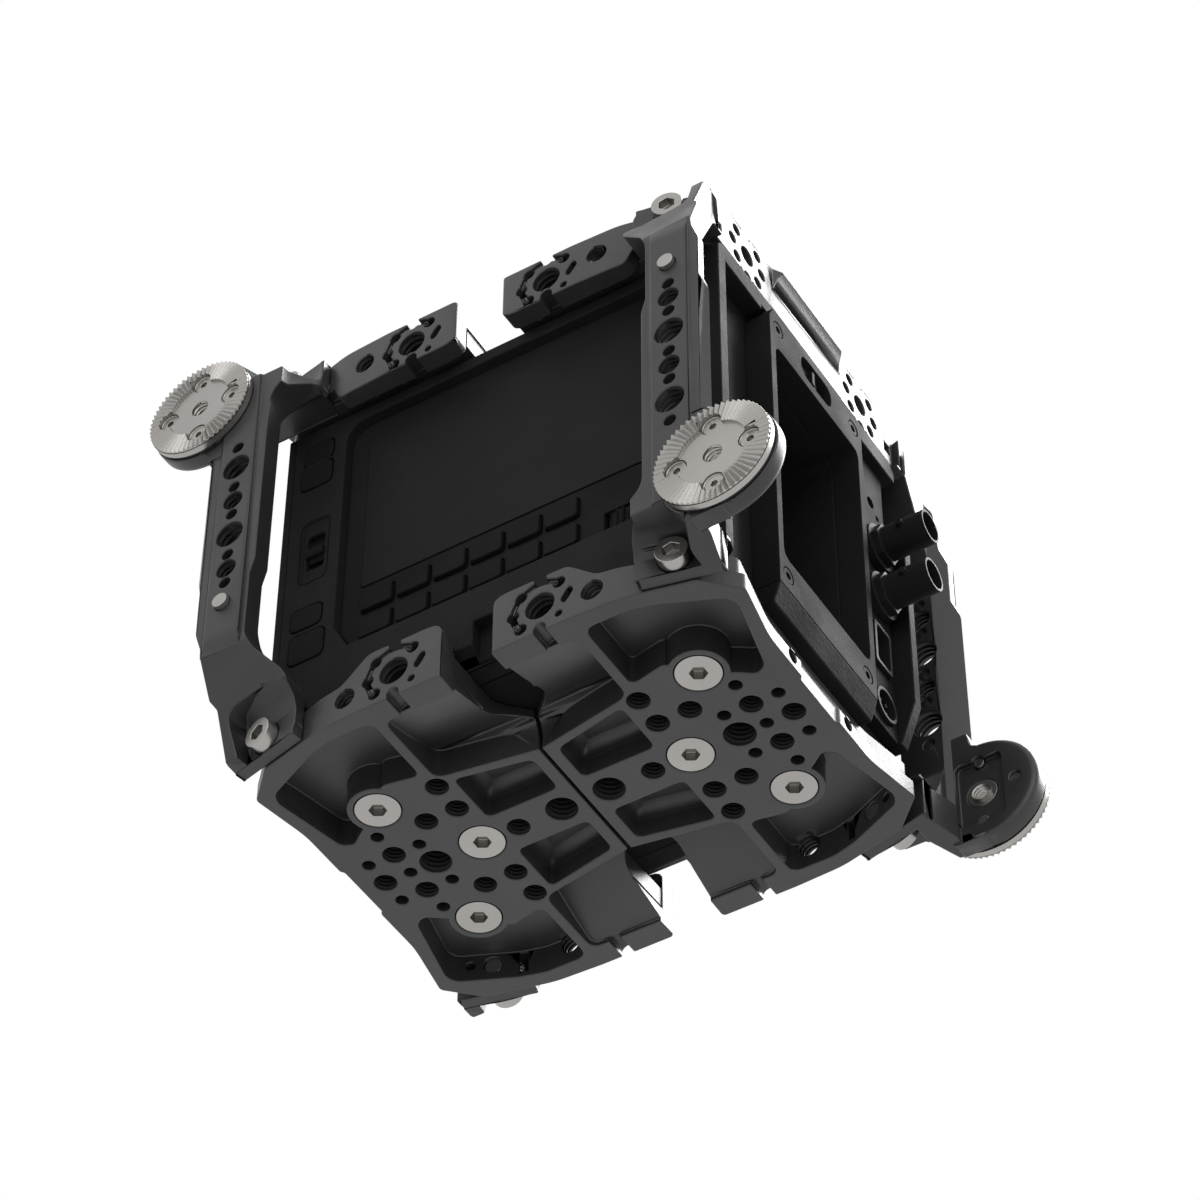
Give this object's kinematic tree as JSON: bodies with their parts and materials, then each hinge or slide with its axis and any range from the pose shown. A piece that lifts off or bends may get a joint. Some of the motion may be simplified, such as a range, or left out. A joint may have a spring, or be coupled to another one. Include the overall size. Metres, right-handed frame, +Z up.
{
  "type": "camera cage",
  "caption": "Metal cage of split plates and side bars with toothed rosettes, bolted round a box camera with keypad, battery bay and video jacks.",
  "frame": {"origin": "on the underside of the base plates, in the middle of the split between them", "axes": "+X to the side away from the control panel, +Y to the lens, +Z up"},
  "size_m": [0.1436, 0.1894, 0.1471],
  "materials": {
    "plate_metal": "black anodised, fine bead-blasted",
    "bar_metal": "black anodised, satin",
    "steel": "bare satin stainless steel",
    "casing": "matte black, fine texture",
    "trim": "matte black",
    "dark_screws": "black oxide",
    "sockets": "black nickel, satin",
    "display": "matte anti-glare cover",
    "contacts": "gold plated",
    "board": "circuit board",
    "keys": "matte black"
  },
  "bodies": {
    "root": {"base_plate_rear": "plate_metal", "base_plate_front": "plate_metal", "top_plate_rear": "plate_metal", "top_plate_front": "plate_metal", "side_bar_rear_left": "bar_metal", "side_bar_rear_right": "bar_metal", "side_bar_front_left": "bar_metal", "side_bar_front_right": "bar_metal", "rosette_rear_left": "steel", "rosette_rear_right": "steel", "rosette_front_left": "steel", "rosette_front_right": "steel", "rosette_screws": "steel", "rosette_inserts": "steel", "base_screws": "steel", "top_screws": "steel", "foot_screws": "steel", "bar_pins": "steel", "body_shell": "casing", "front_cover": "casing", "base_cover": "trim", "battery_frame": "trim", "battery_well": "casing", "battery_contacts": "contacts", "frame_screws": "dark_screws", "connector_panel": "trim", "video_jack_upper": "sockets", "video_jack_lower": "sockets", "data_port": "sockets", "power_socket": "sockets", "control_panel": "trim", "display_glass": "display", "wheel_axle": "steel", "lens_mount": "steel", "sensor_module": "board", "main_board": "board"},
    "key_upper_1": {"key_upper_1": "keys"},
    "key_upper_2": {"key_upper_2": "keys"},
    "key_upper_3": {"key_upper_3": "keys"},
    "key_upper_4": {"key_upper_4": "keys"},
    "key_upper_5": {"key_upper_5": "keys"},
    "key_upper_6": {"key_upper_6": "keys"},
    "key_lower_1": {"key_lower_1": "keys"},
    "key_lower_2": {"key_lower_2": "keys"},
    "key_lower_3": {"key_lower_3": "keys"},
    "key_lower_4": {"key_lower_4": "keys"},
    "key_lower_5": {"key_lower_5": "keys"},
    "key_lower_6": {"key_lower_6": "keys"},
    "side_button_1": {"side_button_1": "keys"},
    "side_button_2": {"side_button_2": "keys"},
    "side_button_3": {"side_button_3": "keys"},
    "side_button_4": {"side_button_4": "keys"},
    "slide_switch": {"slide_switch": "keys"},
    "thumb_wheel": {"thumb_wheel": "keys"},
    "battery_latch": {"battery_latch": "keys"}
  },
  "joints": [
    {"name": "key_upper_1_press", "type": "slide", "parent": "root", "child": "key_upper_1", "axis": [1, 0, 0], "range_m": [0, 0.0008], "stiffness_N_per_m": 800, "springref_m": -0.0004},
    {"name": "key_upper_2_press", "type": "slide", "parent": "root", "child": "key_upper_2", "axis": [1, 0, 0], "range_m": [0, 0.0008], "stiffness_N_per_m": 800, "springref_m": -0.0004},
    {"name": "key_upper_3_press", "type": "slide", "parent": "root", "child": "key_upper_3", "axis": [1, 0, 0], "range_m": [0, 0.0008], "stiffness_N_per_m": 800, "springref_m": -0.0004},
    {"name": "key_upper_4_press", "type": "slide", "parent": "root", "child": "key_upper_4", "axis": [1, 0, 0], "range_m": [0, 0.0008], "stiffness_N_per_m": 800, "springref_m": -0.0004},
    {"name": "key_upper_5_press", "type": "slide", "parent": "root", "child": "key_upper_5", "axis": [1, 0, 0], "range_m": [0, 0.0008], "stiffness_N_per_m": 800, "springref_m": -0.0004},
    {"name": "key_upper_6_press", "type": "slide", "parent": "root", "child": "key_upper_6", "axis": [1, 0, 0], "range_m": [0, 0.0008], "stiffness_N_per_m": 800, "springref_m": -0.0004},
    {"name": "key_lower_1_press", "type": "slide", "parent": "root", "child": "key_lower_1", "axis": [1, 0, 0], "range_m": [0, 0.0008], "stiffness_N_per_m": 800, "springref_m": -0.0004},
    {"name": "key_lower_2_press", "type": "slide", "parent": "root", "child": "key_lower_2", "axis": [1, 0, 0], "range_m": [0, 0.0008], "stiffness_N_per_m": 800, "springref_m": -0.0004},
    {"name": "key_lower_3_press", "type": "slide", "parent": "root", "child": "key_lower_3", "axis": [1, 0, 0], "range_m": [0, 0.0008], "stiffness_N_per_m": 800, "springref_m": -0.0004},
    {"name": "key_lower_4_press", "type": "slide", "parent": "root", "child": "key_lower_4", "axis": [1, 0, 0], "range_m": [0, 0.0008], "stiffness_N_per_m": 800, "springref_m": -0.0004},
    {"name": "key_lower_5_press", "type": "slide", "parent": "root", "child": "key_lower_5", "axis": [1, 0, 0], "range_m": [0, 0.0008], "stiffness_N_per_m": 800, "springref_m": -0.0004},
    {"name": "key_lower_6_press", "type": "slide", "parent": "root", "child": "key_lower_6", "axis": [1, 0, 0], "range_m": [0, 0.0008], "stiffness_N_per_m": 800, "springref_m": -0.0004},
    {"name": "side_button_1_press", "type": "slide", "parent": "root", "child": "side_button_1", "axis": [1, 0, 0], "range_m": [0, 0.0008], "stiffness_N_per_m": 800, "springref_m": -0.0004},
    {"name": "side_button_2_press", "type": "slide", "parent": "root", "child": "side_button_2", "axis": [1, 0, 0], "range_m": [0, 0.0008], "stiffness_N_per_m": 800, "springref_m": -0.0004},
    {"name": "side_button_3_press", "type": "slide", "parent": "root", "child": "side_button_3", "axis": [1, 0, 0], "range_m": [0, 0.0008], "stiffness_N_per_m": 800, "springref_m": -0.0004},
    {"name": "side_button_4_press", "type": "slide", "parent": "root", "child": "side_button_4", "axis": [1, 0, 0], "range_m": [0, 0.0008], "stiffness_N_per_m": 800, "springref_m": -0.0004},
    {"name": "slide_switch_slide", "type": "slide", "parent": "root", "child": "slide_switch", "axis": [0, 0, 1], "range_m": [-0.0025, 0.0025]},
    {"name": "thumb_wheel_spin", "type": "hinge", "parent": "root", "child": "thumb_wheel", "pos_m": [-0.04, -0.0372, 0.042], "axis": [0, 0, 1], "continuous": true},
    {"name": "battery_latch_slide", "type": "slide", "parent": "root", "child": "battery_latch", "axis": [1, 0, 0], "range_m": [0, 0.0035], "stiffness_N_per_m": 300, "springref_m": -0.001}
  ]
}
